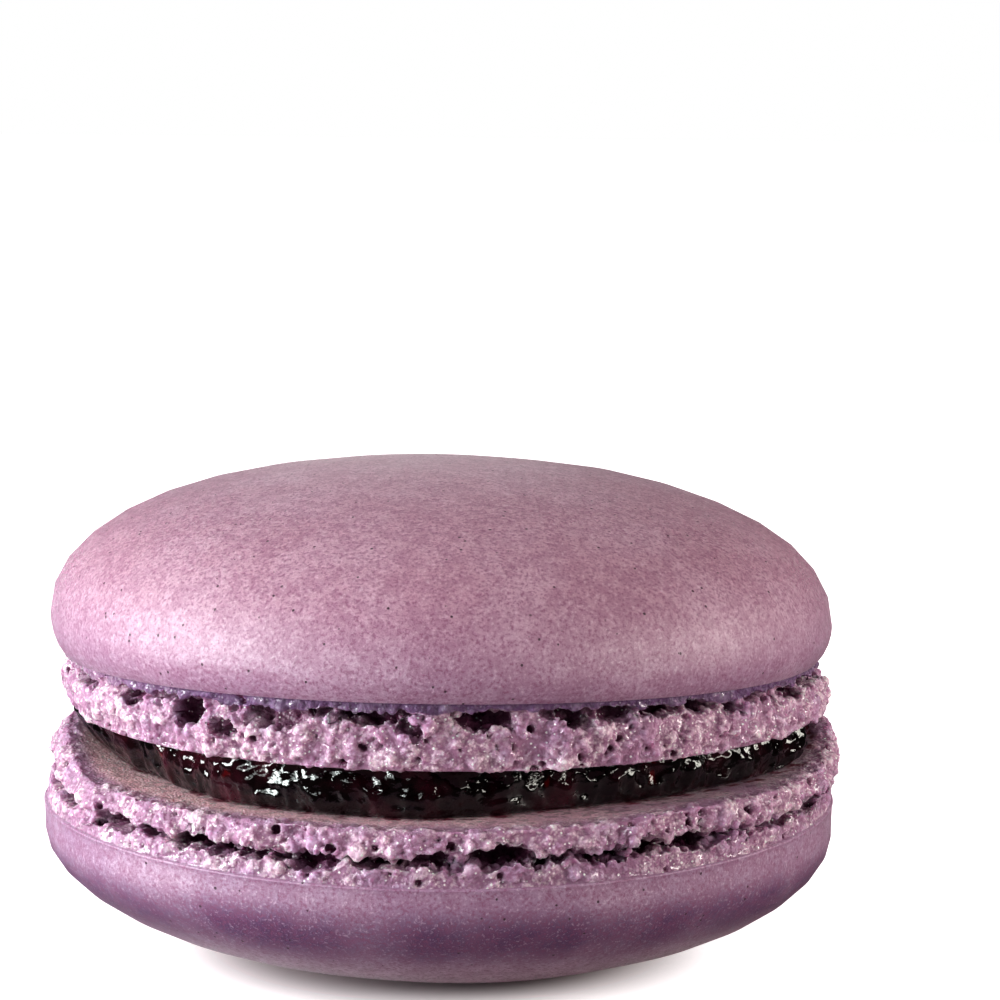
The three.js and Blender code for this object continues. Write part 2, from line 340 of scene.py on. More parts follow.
def foot_radius(shell, up):
    """The radius of the foot without relief"""
    belly_up, belly_reach, belly_tall = shell["belly"]
    groove_up, groove_reach, groove_tall = shell["groove"]
    return (between(shell["base_radius"], shell["rim_radius"], ease(up / shell["foot"]))
            + belly_reach * bump((up - belly_up) / belly_tall)
            - groove_reach * bump((up - groove_up) / groove_tall))


def out_of_round(shell, azimuth):
    """How far the outline stands outside a circle"""
    oval, oval_at = shell["oval"]
    lobe, lobe_at = shell["lobe"]
    return (oval * np.cos(2 * (azimuth - math.radians(oval_at)))
            + lobe * np.cos(3 * (azimuth - math.radians(lobe_at))))


def swell(shell, azimuth):
    """How far the edge of the foot stands towards the other shell"""
    return sum(height * bump(turn_between(azimuth, at) / math.radians(spread))
               for at, spread, height in shell["swells"])


def base_edge(shell):
    """The radius of the edge of a shell's base"""
    return float(foot_radius(shell, 0)) - ROUNDED_EDGE


def base_rise(shell, azimuth, radius):
    """How far a shell's base stands towards the other shell at a radius"""
    share = (radius - FLAT_RADIUS) / (base_edge(shell) - shell["shift"] - FLAT_RADIUS)
    return swell(shell, azimuth) * np.clip(share, 0, 1)


def placed(shell, azimuth, radius, up):
    """Puts a point of the shell's plain outline where its swells, waves, lean and roundness put it"""
    cap = shell["cap"]
    at_ends, to_right = shell["wave"]
    on_foot = 1 - ease(up / shell["foot"])
    on_cap = ease((up - shell["foot"]) / cap["tuck"])
    reach = radius + out_of_round(shell, azimuth) * ease(radius / shell["base_radius"])
    reach = reach + shell["shift"] * on_foot * np.cos(azimuth) * ease((radius - FLAT_RADIUS) / EDGE_BLEND)
    level = ease((radius - cap["flat"]) / (cap["radius"] / 2)) if cap["flat"] else 1
    wave = at_ends * np.cos(azimuth) ** 2 + to_right * np.cos(azimuth)
    risen = np.where(up > 0, swell(shell, azimuth) * on_foot, base_rise(shell, azimuth, radius))
    stand = up + wave * (1 - on_foot) * (1 - on_cap) - risen
    lean = cap["lean"] * on_cap * level * reach * np.cos(azimuth)
    return points_at(reach, azimuth, shell["base"] + shell["direction"] * stand + lean)


# The crumb of the feet

def calmness(azimuth):
    """From 0 to 1, how calm the crumb is"""
    return bump(turn_between(azimuth, CALM_AT) / math.radians(CALM_SPREAD))


def cave_depth(hollows, azimuth, up, points, seed):
    """How deep the hollows go at each point, with ragged edges"""
    sideways = noise_layers(points, CAVE_SIDEWAYS, seed)
    upwards = noise_layers(points, CAVE_UPWARDS, seed)
    outermost, slope = CAVE_SLOPE
    depth = np.zeros(len(azimuth))
    for at, middle, width, height, deepest in hollows:
        across = (turn_between(azimuth, at) * FOOT_NOISE_RADIUS + sideways) / (width / 2)
        along = (up + upwards - middle) / (height / 2)
        shape = ease((outermost - (across ** 2 + along ** 2)) / slope)
        depth = np.maximum(depth, deepest * shape)
    return depth


def lip_start(shell, edge):
    """How far up the lip under the skin starts, with its waves and teeth"""
    lip, seed = shell["lip"], shell["seed"]
    waves = noise(edge, LIP_WAVES["size"], seed + LIP_WAVES["seed"])
    teeth = np.abs(noise(edge, LIP_TEETH["size"], seed + LIP_TEETH["seed"])) - LIP_TEETH["mean"]
    return shell["foot"] - lip["height"] - (lip["waves"] * waves + lip["teeth"] * teeth)


def foot_depth(shell, azimuth, up, points, edge, lip_edge):
    """How deep the foot is at its caves, at the crack along the lip and at its small pockets"""
    seed = shell["seed"]
    caves = cave_depth(shell["hollows"], azimuth, up, points, seed + CAVE_SEED)
    crack = CRACK["depth"] * ease(1 - np.abs(up - lip_edge + CRACK["drop"]) / CRACK["half_height"])
    crack = crack * rise(noise(edge, CRACK["size"], seed + CRACK["seed"]), *CRACK["span"])
    pockets = POCKETS["depth"] * bump((up - shell["groove"][0]) / POCKETS["height"])
    spots = finer_and_finer(points, POCKETS["size"], seed + POCKETS["seed"], POCKETS["layers"])
    pockets = pockets * rise(spots, *POCKETS["span"])
    return np.maximum(caves, (1 - CALM_POCKETS * calmness(azimuth)) * np.maximum(crack, pockets))


def foot_form(shell, azimuth, up, points):
    """The foot without its crumb: its radius, how hollow it is, and its share of the lip under the skin"""
    seed = shell["seed"]
    ruffles = sum(shell["ruffle"] * share * np.sin(count * azimuth + phase + twist * up)
                  for count, share, phase, twist in shell["ruffles"])
    edge = np.column_stack([points[:, :2], np.zeros(len(points))])
    lip_edge = lip_start(shell, edge)
    deep = foot_depth(shell, azimuth, up, points, edge, lip_edge)
    rounding = np.maximum(0, 1 - up / ROUNDED_EDGE)
    plain = foot_radius(shell, up) - ROUNDED_EDGE * (1 - np.sqrt(1 - rounding ** 2))
    swollen = noise_layers(points * TALL_SQUASH, TALL_LUMPS, seed) + noise_layers(points, ROUND_LUMPS, seed)
    crumb = plain + ease(up / FORM_FADE) * (ruffles + swollen - deep)
    on_lip = rise(up - lip_edge, -LIP_BLEND, LIP_BLEND)
    radius = between(crumb, shell["rim_radius"] - shell["lip"]["recess"], on_lip)
    return radius, np.clip(deep * (1 - on_lip) / FULL_HOLLOW, 0, 1), on_lip


def crumb_relief(shell, places):
    """Rounded lumps with creases between them, and how deep the pores in them are, at a grid of places"""
    points, seed = places.reshape(-1, 3), shell["seed"] + CRUMB_SEED
    lumps = bubble_layers(points, LUMPS, seed) + noise_layers(points, LUMP_GRAIN, seed) - LUMP_SINK
    pores = bubble_layers(points, PORES, seed)
    return lumps.reshape(places.shape[:2]), pores.reshape(places.shape[:2])


def relief_height(lumps, pores, strengths):
    return strengths[0] * lumps - strengths[1] * pores


def crest_share(lumps):
    """From 0 in the creases to 1 on the lumps, for the crumb's painted shade in its creases"""
    return np.clip(CREST_SLOPE * lumps + CREST_START, 0, 1)


# The shells' surfaces, each as rows of a ring grid with the values for its material

def resampled(values, distance, rows):
    """Each column's values again at rows that are evenly far apart along its profile"""
    wanted = np.linspace(0, 1, rows)[:, None] * distance[-1]
    picked = np.empty((len(values), rows, distance.shape[1]))
    for column in range(distance.shape[1]):
        for k, value in enumerate(values):
            picked[k, :, column] = np.interp(wanted[:, column], distance[:, column], value[:, column])
    return picked


def grid_normals(places):
    """Outward normals of a closed ring grid of points, indexed by row, column and axis"""
    along = np.gradient(places, axis=0)
    around = np.roll(places, -1, axis=1) - np.roll(places, 1, axis=1)
    normal = np.cross(around, along)
    normal /= np.maximum(1e-9, np.linalg.norm(normal, axis=2, keepdims=True))
    return normal * np.sign(np.sum(normal[..., :2] * places[..., :2], axis=2).mean())


def foot_profile(shell, turn):
    """The foot's plain points, how far up each is, and its hollow and lip, on evenly spaced rows"""
    up = np.linspace(PROFILE_ENDS[0], shell["foot"] - PROFILE_ENDS[1], PROFILE_STEPS)
    azimuth, up = np.meshgrid(turn, up)
    flat = [azimuth.ravel(), up.ravel()]
    form = foot_form(shell, *flat, points_at(FOOT_NOISE_RADIUS, *flat))
    radius, hollow_shade, lip = (part.reshape(up.shape) for part in form)
    steps = np.hypot(np.diff(up, axis=0), DEPTH_SHARE * np.diff(radius, axis=0))
    distance = np.vstack([np.zeros((1, len(turn))), np.cumsum(steps, axis=0)])
    radius, up, hollow_shade, lip = resampled((radius, up, hollow_shade, lip), distance, FOOT_ROWS)
    return placed(shell, np.tile(turn, (FOOT_ROWS, 1)), radius, up), up, hollow_shade, lip


def foot_surface(shell, turn):
    """The foot with its crumb standing out from it"""
    places, up, hollow_shade, lip = foot_profile(shell, turn)
    lumps, pores = crumb_relief(shell, places)
    calm = calmness(turn)
    relief = relief_height(lumps, pores, CRUMB_RELIEF)
    relief = between(relief, relief_height(lumps, pores, LIP_RELIEF), lip)
    relief *= ease(up / RELIEF_FADES[0]) * ease((shell["foot"] - up) / RELIEF_FADES[1])
    relief *= 1 - CALM_RELIEF * calm
    hollow_shade = np.clip(hollow_shade + FOOT_PORE_HOLLOW * pores, 0, 1)
    # The violet under the skin is partly its own colour and partly painted shade under the rim.
    violet = lip * shell["lip"]["violet"] * (1 - CALM_VIOLET * calm)
    places = places + grid_normals(places) * relief[..., None]
    return places, dict(hollow_shade=hollow_shade, lip=violet, crest_shade=crest_share(lumps))


def base_surface(shell, turn):
    """The base from near the middle to its edge, rough where it shows, with its stain and baked tan"""
    edge = base_edge(shell)
    share = np.linspace(0, 1, BASE_ROWS - len(BASE_INNER_ROWS))
    close_rows = between(BASE_START, edge, 1 - (1 - share) ** BASE_CROWDING)
    azimuth, radius = np.meshgrid(turn, np.concatenate([BASE_INNER_ROWS, close_rows]))
    places = placed(shell, azimuth, radius, np.zeros(radius.shape))
    lumps, pores = crumb_relief(shell, places)
    grain = noise_layers(places.reshape(-1, 3), BASE_GRAIN, shell["seed"]).reshape(radius.shape)
    near_edge = rise(radius - edge, *BASE_CRUMB)
    relief = BASE_LIFT + grain + near_edge * relief_height(lumps, pores, EDGE_RELIEF)
    relief *= ease((radius - FLAT_RADIUS) / EDGE_BLEND)
    places[..., 2] -= shell["direction"] * relief
    jam_side = jam_edge(azimuth, 0 if shell["direction"] < 0 else 1) + JAM_BULGE
    stain = bump(np.maximum(0, radius - jam_side) / STAIN_REACH)
    tan = np.clip(BASE_TAN["middle"] - BASE_TAN["leftwards"] * np.cos(azimuth), BASE_TAN["least"], 1)
    crest_shade = between(BASE_CREST, crest_share(lumps), near_edge)
    hollow_shade = near_edge * np.clip(BASE_PORE_HOLLOW * pores, 0, 1)
    return places, dict(stain=stain, tan=tan * (1 - near_edge), crest_shade=crest_shade, hollow_shade=hollow_shade)


def skin_surface(shell, turn):
    """The cap from its rim to near the top, gently uneven"""
    cap, foot, rim = shell["cap"], shell["foot"], shell["rim_radius"]
    rows = [(rim + out, foot + up) for out, up in SKIN_START]
    for share in SKIN_TUCK_ROWS:
        tucked = (cap["radius"] - rim) * (1 - share) ** TUCK_CURVE
        rows.append((cap["radius"] - tucked, foot + cap["tuck"] * share))
    crown_height = cap["height"] - cap["tuck"]
    for angle in np.linspace(0, math.pi / 2, SKIN_ROWS - len(rows), endpoint=False):
        rows.append((cap["radius"] * math.cos(angle) ** (2 / cap["side"]),
                     foot + cap["tuck"] + crown_height * math.sin(angle) ** (2 / cap["crown"])))
    if cap["flat"]:
        rows = [row for row in rows if row[0] > cap["flat"] + FLAT_GAP]
        rows.append((cap["flat"], foot + cap["height"]))
    radius, up = (np.tile(np.array(part)[:, None], (1, len(turn))) for part in zip(*rows))
    places = placed(shell, turn, radius, up)
    uneven = noise_layers(places.reshape(-1, 3), SKIN_UNEVEN, shell["seed"]).reshape(radius.shape)
    uneven *= ease((up - foot - SKIN_FADES["start"]) / SKIN_FADES["up"])
    uneven *= ease((radius - cap["flat"]) / SKIN_FADES["inward"])
    places[..., 2] += shell["direction"] * uneven
    return places, {}


def shell_surface(shell):
    """The shell's points as rows of a ring grid, its values for each, and the row where the skin starts"""
    turn = np.arange(COLUMNS) * 2 * math.pi / COLUMNS
    parts = [base_surface(shell, turn), foot_surface(shell, turn), skin_surface(shell, turn)]
    places = np.vstack([part[0] for part in parts])
    values = {}
    for name in ("hollow_shade", "lip", "stain", "tan", "crest_shade"):
        values[name] = np.vstack([part[1].get(name, np.zeros(part[0].shape[:2])) for part in parts]).ravel()
    return places, values, len(places) - len(parts[2][0])


# The jam

def jam_edge(azimuth, share):
    """The jam's outline without its bulge, at a share of its thickness"""
    at, spread, reach = JAM_SLANT
    slant = reach * bump(turn_between(azimuth, at) / math.radians(spread))
    waves = sum(height * np.cos(count * (azimuth - math.radians(top))) for count, height, top in JAM_WAVES)
    return JAM_RADIUS - JAM_EDGE - slant * (1 - share) + waves


def jam_relief(azimuth, share):
    """Drag ridges, lumps and dents in the jam's side"""
    points = points_at(JAM_NOISE_RADIUS, azimuth, JAM_NOISE_HEIGHT * share).reshape(-1, 3)
    relief = noise_layers(points * JAM_RIDGE_SQUASH, JAM_RIDGES, JAM_SEED)
    relief += noise_layers(points, JAM_LUMPS, JAM_SEED)
    relief -= bubble_layers(points, JAM_DENTS, JAM_SEED)
    return relief.reshape(azimuth.shape)


def jam_surface():
    """The jam's points as rows of a ring grid: a bulging side between two faces"""
    turn = np.arange(JAM_COLUMNS) * 2 * math.pi / JAM_COLUMNS
    share = np.linspace(0, 1, JAM_ROWS)
    arch = (JAM_EDGE + JAM_BULGE) * np.sqrt(np.maximum(0, 1 - (2 * share - 1) ** 2))
    inner = len(JAM_INNER_ROWS)
    azimuth, stand = np.meshgrid(turn, np.concatenate([JAM_INNER_ROWS, arch, JAM_INNER_ROWS[::-1]]))
    share = np.concatenate([np.zeros(inner), share, np.ones(inner)])
    share = np.tile(share[:, None], (1, JAM_COLUMNS))
    on_side = (stand >= 0) * ease(JAM_RELIEF_RISE * share * (1 - share))
    radius = jam_edge(azimuth, share) + stand + jam_relief(azimuth, share) * on_side
    clear = JAM_CLEARANCE * (radius > FLAT_RADIUS)
    below = LOWER_FLAT + clear + base_rise(LOWER_SHELL, azimuth, radius)
    above = UPPER_FLAT - clear - base_rise(UPPER_SHELL, azimuth, radius)
    return points_at(radius, azimuth, between(below, above, share))


# Meshes

def ring_mesh(name, places, flip):
    """A closed mesh from rows of rings of points, with a middle point at each end. flip turns its faces."""
    rows, columns = places.shape[:2]
    middles = [(0, 0, places[0, :, 2].mean()), (0, 0, places[-1, :, 2].mean())]
    vertices = np.vstack([places.reshape(-1, 3), middles]) * MM
    ring = np.arange(columns)
    beside = (ring + 1) % columns
    start = np.arange(rows - 1)[:, None] * columns
    corners = [start + ring, start + beside, start + columns + beside, start + columns + ring]
    last_row = (rows - 1) * columns
    start_fan = np.column_stack([np.full(columns, rows * columns), beside, ring])
    end_fan = np.column_stack([np.full(columns, rows * columns + 1), last_row + ring, last_row + beside])
    faces = [*start_fan.tolist(), *np.stack(corners, axis=-1).reshape(-1, 4).tolist(), *end_fan.tolist()]
    mesh = bpy.data.meshes.new(name)
    mesh.from_pydata(vertices.tolist(), [], [face[::-1] if flip else face for face in faces])
    mesh.validate()
    mesh.shade_smooth()
    piece = bpy.data.objects.new(name, mesh)
    bpy.context.collection.objects.link(piece)
    return piece


def give_values(piece, values):
    """Stores one number a vertex under each name, for the materials"""
    for name, numbers in values.items():
        stored = piece.data.attributes.new(name, "FLOAT", "POINT")
        stored.data.foreach_set("value", np.append(numbers, [0, 0]).astype(np.float32))


def dress_shell(name, node, shell, skin, crumb):
    """Makes a shell in place of its solid, of crumb up to the row where the skin starts"""
    places, values, skin_row = shell_surface(shell)
    piece = ring_mesh(name, places, shell["direction"] < 0)
    give_values(piece, values)
    piece.data.materials.append(skin)
    piece.data.materials.append(crumb)
    material = np.zeros(len(piece.data.polygons), dtype=np.int32)
    material[:COLUMNS * skin_row] = 1
    piece.data.polygons.foreach_set("material_index", material)
    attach(piece, "root")
    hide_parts(node)


def dress_jam(material):
    piece = ring_mesh("berry_jam", jam_surface(), False)
    piece.data.materials.append(material)
    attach(piece, "root")
    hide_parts("jam_filling")


# Materials

def feed(tree, value, socket):
    """Links an output to a socket, or sets the socket's own value"""
    if isinstance(value, bpy.types.NodeSocket):
        tree.links.new(value, socket)
    else:
        socket.default_value = value


def ranged(tree, value, span, low, high, interpolation="LINEAR"):
    """Goes from low to high, each a number or an output, while the value goes through the span"""
    node = tree.nodes.new("ShaderNodeMapRange")
    node.interpolation_type = interpolation
    names = ("Value", "From Min", "From Max", "To Min", "To Max")
    for part, name in zip((value, *span, low, high), names):
        feed(tree, part, node.inputs[name])
    return node.outputs["Result"]


class Recipe:
    """A material that is built up node by node. Its sizes and heights are in millimetres."""

    def __init__(self, name):
        self.material = bpy.data.materials.new(name)
        self.material.use_nodes = True
        self.tree = self.material.node_tree
        self.shader = self.tree.nodes["Principled BSDF"]
        self.place = self.tree.nodes.new("ShaderNodeTexCoord").outputs["Object"]

    def noise(self, size, detail=2, roughness=0.5):
        node = self.tree.nodes.new("ShaderNodeTexNoise")
        self.tree.links.new(self.place, node.inputs["Vector"])
        node.inputs["Scale"].default_value = 1 / (size * MM)
        node.inputs["Detail"].default_value = detail
        node.inputs["Roughness"].default_value = roughness
        return node.outputs["Fac"]

    def cells(self, size):
        """Distance to scattered points about size apart, and a random value of each point"""
        node = self.tree.nodes.new("ShaderNodeTexVoronoi")
        self.tree.links.new(self.place, node.inputs["Vector"])
        node.inputs["Scale"].default_value = 1 / (size * MM)
        split = self.tree.nodes.new("ShaderNodeSeparateColor")
        self.tree.links.new(node.outputs["Color"], split.inputs["Color"])
        return node.outputs["Distance"], split.outputs["Red"]

    def maths(self, operation, *values):
        node = self.tree.nodes.new("ShaderNodeMath")
        node.operation = operation
        for value, socket in zip(values, node.inputs):
            feed(self.tree, value, socket)
        return node.outputs[0]

    def step(self, value, low, high, to_low=0.0, to_high=1.0):
        """Goes smoothly from to_low to to_high while the value goes from low to high"""
        return ranged(self.tree, value, (low, high), to_low, to_high, "SMOOTHSTEP")

    def by_height(self, span, to_low=0.0, to_high=1.0):
        """Goes smoothly from to_low to to_high through a span of height above the floor"""
        node = self.tree.nodes.new("ShaderNodeSeparateXYZ")
        self.tree.links.new(self.place, node.inputs[0])
        return self.step(node.outputs["Z"], span[0] * MM, span[1] * MM, to_low, to_high)

    def mix(self, share, first, second):
        node = self.tree.nodes.new("ShaderNodeMix")
        node.data_type = "RGBA"
        feed(self.tree, share, node.inputs["Factor"])
        colours = [socket for socket in node.inputs if socket.type == "RGBA"]
        for value, socket in zip((first, second), colours):
            feed(self.tree, (*value, 1) if isinstance(value, tuple) else value, socket)
        return [socket for socket in node.outputs if socket.type == "RGBA"][0]

    def value(self, name):
        """A number that the mesh stores for each vertex"""
        node = self.tree.nodes.new("ShaderNodeAttribute")
        node.attribute_name = name
        return node.outputs["Fac"]

    def bumps(self, *layers):
        """Stacks bump layers, each a height from 0 to 1, its depth and its strength"""
        normal = None
        for value, depth, strength in layers:
            node = self.tree.nodes.new("ShaderNodeBump")
            node.inputs["Distance"].default_value = depth * MM
            node.inputs["Strength"].default_value = strength
            self.tree.links.new(value, node.inputs["Height"])
            if normal:
                self.tree.links.new(normal, node.inputs["Normal"])
            normal = node.outputs["Normal"]
        return normal

    def finish(self, **inputs):
        """Gives the shader its inputs, each named with _ for a space"""
        for name, value in inputs.items():
            feed(self.tree, value, self.shader.inputs[name.replace("_", " ")])
        return self.material


# The skin: how far red, green and blue light spreads in it, its colours, the heights where they change, and
# the sizes of its patterns
SKIN_SPREAD = 0.6
SKIN_SPREAD_TINT = (1.0, 0.6, 0.8)
UPPER_TINT = (0.56, 0.315, 0.405)
LOWER_TINT = (0.41, 0.25, 0.38)
SHADE_BAND_TINT = (0.14, 0.055, 0.16)
PALE_SPECK_AND_BOUNCE = (0.80, 0.60, 0.72)
DARK_SPECK = (0.30, 0.10, 0.20)
PINHOLE_SHADE = (0.09, 0.03, 0.06)
UPPER_TINT_FROM = (16, 25)
SHADE_BAND_FROM = (3.2, 5.2)
SHADE_BAND_TO = (5.8, 7.8)
BOUNCE_LIT_BASE = (1.8, 4.2)
BLOTCH_SIZE = 5.0
PATCH_SIZE = 0.8
SKIN_GRAIN_SIZE = 0.2
SKIN_DIMPLE_SIZE = 0.4
SKIN_GLOSS_SIZE = 0.5
PINHOLE_SPACING = 0.8


def skin_material():
    """Satin lilac skin: mottling, blotches, and pinholes painted dark as the shade in them. It is pinker at
    the top, partly as painted bounce light, with a violet band of painted shade and a pale base low down,
    which is painted light bounced from the floor"""
    recipe = Recipe("almond_skin")
    # Pinker higher up: partly its own tint and partly painted pink light bounced onto the top.
    tint = recipe.mix(recipe.by_height(UPPER_TINT_FROM), LOWER_TINT, UPPER_TINT)
    # A violet band of painted shade low on the lower cap, where it faces down and forwards.
    shade_band = recipe.maths("MULTIPLY", recipe.by_height(SHADE_BAND_FROM, 0, 0.95), recipe.by_height(SHADE_BAND_TO, 1, 0))
    tint = recipe.mix(shade_band, tint, SHADE_BAND_TINT)
    # Paler towards the very bottom: painted light bounced from the floor.
    tint = recipe.mix(recipe.by_height(BOUNCE_LIT_BASE, 1, 0), tint, PALE_SPECK_AND_BOUNCE)
    tint = recipe.mix(recipe.step(recipe.noise(BLOTCH_SIZE, 3), 0.4, 0.7, 0, 0.2), tint, PALE_SPECK_AND_BOUNCE)
    tint = recipe.mix(recipe.step(recipe.noise(PATCH_SIZE, 3, 0.6), 0.4, 0.62, 0.3, 0), tint, DARK_SPECK)
    grain = recipe.noise(SKIN_GRAIN_SIZE, 3, 0.75)
    mottled = recipe.mix(recipe.step(grain, 0.36, 0.5, 0.7, 0), tint, DARK_SPECK)
    mottled = recipe.mix(recipe.step(grain, 0.54, 0.7, 0, 0.4), mottled, PALE_SPECK_AND_BOUNCE)
    # Pinholes: dented by a bump, and painted dark as the shade inside them.
    distance, chance = recipe.cells(PINHOLE_SPACING)
    near = recipe.step(distance, 0.06, 0.11, 1, 0)
    hole = recipe.maths("MULTIPLY", near, recipe.step(chance, 0.6, 0.65, 1, 0))
    solid = recipe.maths("SUBTRACT", 1.0, hole)
    dimples = recipe.noise(SKIN_DIMPLE_SIZE, 3)
    return recipe.finish(
        Base_Color=recipe.mix(hole, mottled, PINHOLE_SHADE),
        Roughness=recipe.step(recipe.noise(SKIN_GLOSS_SIZE, 3), 0.3, 0.7, 0.52, 0.64),
        Normal=recipe.bumps((grain, 0.06, 0.55), (dimples, 0.04, 0.4), (solid, 0.1, 0.8)),
        Subsurface_Weight=0.3, Subsurface_Radius=SKIN_SPREAD_TINT, Subsurface_Scale=SKIN_SPREAD * MM,
        Specular_IOR_Level=0.8, Coat_Weight=0.45, Coat_Roughness=0.5,
        Sheen_Weight=0.12, Sheen_Roughness=0.35)


# The crumb: how far light spreads in it, its colours, and the sizes of its patterns
CRUMB_SPREAD = 0.7
CRUMB_SPREAD_TINT = (1.0, 0.7, 0.85)
CRUMB_LIGHT = (0.96, 0.80, 0.85)
CRUMB_SHADE_AND_DARK_GRAIN = (0.42, 0.22, 0.34)
CRUMB_VIOLET = (0.60, 0.42, 0.59)
GLINT_WHITE = (0.97, 0.93, 0.92)
UNDERSKIN_VIOLET_AND_SHADE = (0.11, 0.05, 0.15)
CAVE_SHADE = (0.15, 0.04, 0.095)
FLAT_TAN = (1.0, 0.64, 0.67)
JAM_STAIN = (0.30, 0.06, 0.10)
CRUMB_GRAIN_SIZE = 0.3
GRIT_SPACING = 0.2
VIOLET_PATCH_SIZE = 2.2
STAIN_PATCH_SIZE = 0.9
CRUMB_GLOSS_SIZE = 0.4
GLAZE_SIZE = 0.7
CRUMB_LUMP_SIZE = 0.28
CRUMB_DUST_SIZE = 0.1


def crumb_colour(recipe, grain, grit_bump_and_shade, painted_glints):
    """Pale and violet crumb, with painted shade in its creases, caves and pores and grains painted lighter
    in their middles, a violet lip that is partly painted shade, tan base, white specks painted as glints and
    jam stains
    """
    # Painted shade on the grit: lighter at the grains' middles, darker at their edges, with uneven grain
    # added.
    uneven = recipe.maths("ADD", grit_bump_and_shade, recipe.step(grain, 0.3, 0.7, -0.35, 0.35))
    # Painted shade: darker in the creases between the lumps, lighter on the lumps.
    pale = recipe.maths("ADD", recipe.maths("MULTIPLY", recipe.value("crest_shade"), 0.6), uneven)
    violet_patch = recipe.step(recipe.noise(VIOLET_PATCH_SIZE, 3), 0.42, 0.62)
    colour = recipe.mix(pale, CRUMB_SHADE_AND_DARK_GRAIN, recipe.mix(violet_patch, CRUMB_LIGHT, CRUMB_VIOLET))
    # Violet under the skin: partly its own colour and partly painted shade under the rim's overhang.
    colour = recipe.mix(recipe.value("lip"), colour, recipe.mix(0.8, colour, UNDERSKIN_VIOLET_AND_SHADE))
    # Painted shade: dark in the caves, pockets and pores.
    colour = recipe.mix(recipe.step(recipe.value("hollow_shade"), 0.3, 1.0), colour, CAVE_SHADE)
    tan = recipe.mix(recipe.step(grain, 0.35, 0.6, 0.15, 0), FLAT_TAN, CRUMB_SHADE_AND_DARK_GRAIN)
    colour = recipe.mix(recipe.value("tan"), colour, tan)
    # White specks painted as glints.
    colour = recipe.mix(painted_glints, colour, GLINT_WHITE)
    patches = recipe.step(recipe.noise(STAIN_PATCH_SIZE, 3), 0.35, 0.7)
    stain = recipe.step(recipe.maths("MULTIPLY", recipe.value("stain"), patches), 0.25, 0.9)
    return recipe.mix(stain, colour, JAM_STAIN)


def crumb_material():
    """The base and foot: crumb with white specks painted as glints and glazed patches, with painted shade
    and more gloss in its hollows
    """
    recipe = Recipe("almond_crumb")
    grain = recipe.noise(CRUMB_GRAIN_SIZE, 4, 0.65)
    distance, chance = recipe.cells(GRIT_SPACING)
    grit_bump_and_shade = recipe.step(distance, 0.1, 0.6, 0.4, 0)
    # White specks painted as glints on a few grains, which also get a glossy coat.
    chosen = recipe.step(chance, 0.84, 0.87)
    specks = recipe.maths("MULTIPLY", chosen, recipe.step(distance, 0.2, 0.4, 1, 0))
    painted_glints = recipe.maths("MULTIPLY", specks, recipe.step(recipe.value("lip"), 0.2, 0.6, 1, 0.2))
    dry = recipe.step(recipe.noise(CRUMB_GLOSS_SIZE), 0.35, 0.6, 0.4, 0.65)
    glaze = recipe.step(recipe.noise(GLAZE_SIZE, 3), 0.5, 0.6, 0, 0.8)
    lumps, dust = recipe.noise(CRUMB_LUMP_SIZE, 3, 0.6), recipe.noise(CRUMB_DUST_SIZE)
    return recipe.finish(
        Base_Color=crumb_colour(recipe, grain, grit_bump_and_shade, painted_glints),
        Roughness=recipe.maths("MULTIPLY", dry, recipe.step(recipe.value("hollow_shade"), 0.2, 0.8, 1, 0.4)),
        Normal=recipe.bumps((lumps, 0.14, 0.6), (grit_bump_and_shade, 0.12, 0.7), (dust, 0.05, 0.5)),
        Subsurface_Weight=0.7, Subsurface_Radius=CRUMB_SPREAD_TINT, Subsurface_Scale=CRUMB_SPREAD * MM,
        Coat_Weight=recipe.maths("MAXIMUM", painted_glints, glaze), Coat_IOR=1.7, Coat_Roughness=0.12)


# The jam: its colours, and the sizes of its patterns
JAM_BLACK = (0.003, 0.0004, 0.0008)
JAM_PLUM = (0.05, 0.006, 0.014)
JAM_RED = (0.16, 0.004, 0.006)
PLUM_PATCH_SIZE = 2.4
RED_PATCH_SIZE = 1.7
JAM_LUMP_SIZE = 0.55
JAM_RIPPLE_SIZE = 0.2
JAM_GLOSS_SIZE = 1.1


def jam_material():
    """Wet, almost black jam with patches of plum and red"""
    recipe = Recipe("berry_jam")
    plum = recipe.mix(recipe.step(recipe.noise(PLUM_PATCH_SIZE, 3), 0.45, 0.7), JAM_BLACK, JAM_PLUM)
    lumps, ripples = recipe.noise(JAM_LUMP_SIZE), recipe.noise(JAM_RIPPLE_SIZE, 1)
    return recipe.finish(
        Base_Color=recipe.mix(recipe.step(recipe.noise(RED_PATCH_SIZE), 0.68, 0.8), plum, JAM_RED),
        Roughness=recipe.step(recipe.noise(JAM_GLOSS_SIZE), 0.4, 0.65, 0.05, 0.11),
        Normal=recipe.bumps((lumps, 0.2, 0.5), (ripples, 0.04, 0.4)),
        Specular_IOR_Level=0.5, Coat_Weight=0.3, Coat_Roughness=0.04)


# The studio. The lights are given as azimuth and elevation in degrees, width and height, power in watts and
# tint. All are turned towards the macaron's middle.
COOL = (0.94, 1.02, 1.0)
WARM = (1.0, 0.98, 0.9)
LIGHTS = dict(
    left_softbox=(-178, 26, (200, 150), 0.58, COOL),
    low_left_panel=(-162, 8, (220, 90), 1.3, COOL),
    front_left_panel=(-140, 12, (300, 65), 0.45, COOL),
    right_panel=(-16, 15, (340, 75), 1.0, WARM),
)
LIGHT_DISTANCE = 360
LIT_HEIGHT = 12

# The floor: its size, where its shadow ends, and its colours as light and in wet mirrors
FLOOR_REACH = 6000
SHADOW_EDGE = (9.5, 17.5)
FLOOR_TINT = (0.60, 0.53, 0.54)
FLOOR_MIRRORED = (0.04, 0.04, 0.04)

